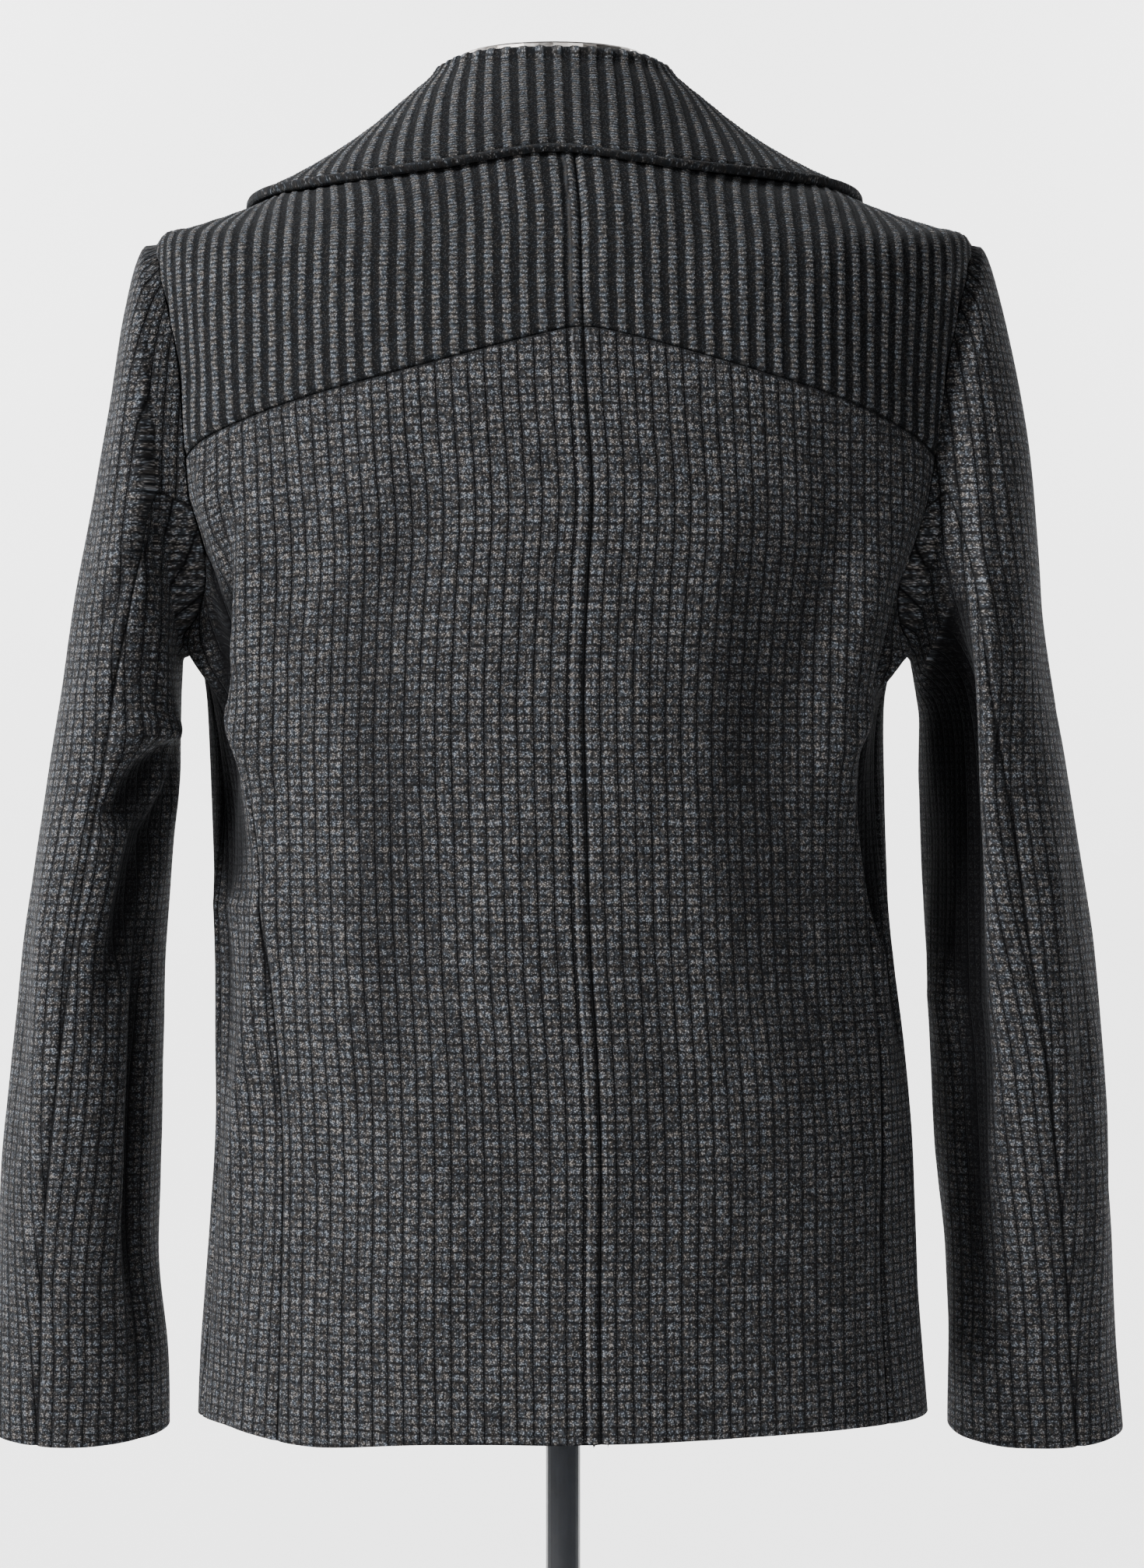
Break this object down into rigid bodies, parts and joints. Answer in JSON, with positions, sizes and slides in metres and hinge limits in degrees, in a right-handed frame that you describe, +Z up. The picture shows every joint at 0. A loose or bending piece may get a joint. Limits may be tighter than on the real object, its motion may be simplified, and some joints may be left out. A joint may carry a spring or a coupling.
{
  "type": "short wool coat on a limbless dress form with a pole stand",
  "caption": "Short long-sleeved wool coat with a wide turned-down collar and a back yoke, shown on a limbless dress form on a pole with a round base.",
  "frame": {"origin": "centre of the base's underside, on the floor", "axes": "+Z up, the coat's front faces +Y and its back -Y, the wearer's right is +X"},
  "size_m": [0.6772, 0.34, 1.5461],
  "materials": {
    "check_wool": "thick brushed wool with a small dark grey check",
    "stripe_wool": "thick brushed wool with light and dark grey looped stripes",
    "horn": "dark horn, half polished",
    "form_cloth": "plain tight cotton jersey",
    "neck_metal": "turned, satin",
    "pole_paint": "glossy blue-black paint"
  },
  "bodies": {
    "root": {"back_left": "check_wool", "back_right": "check_wool", "yoke_left": "stripe_wool", "yoke_right": "stripe_wool", "side_left": "check_wool", "side_right": "check_wool", "front_left": "check_wool", "front_right": "check_wool", "lapel_left": "check_wool", "lapel_right": "check_wool", "sleeve_top_left": "check_wool", "sleeve_under_left": "check_wool", "sleeve_top_right": "check_wool", "sleeve_under_right": "check_wool", "collar": "stripe_wool", "button_1": "horn", "button_2": "horn", "button_3": "horn", "dress_form": "form_cloth", "neck_cap": "neck_metal", "stand_pole": "pole_paint", "stand_base": "pole_paint"}
  },
  "joints": []
}
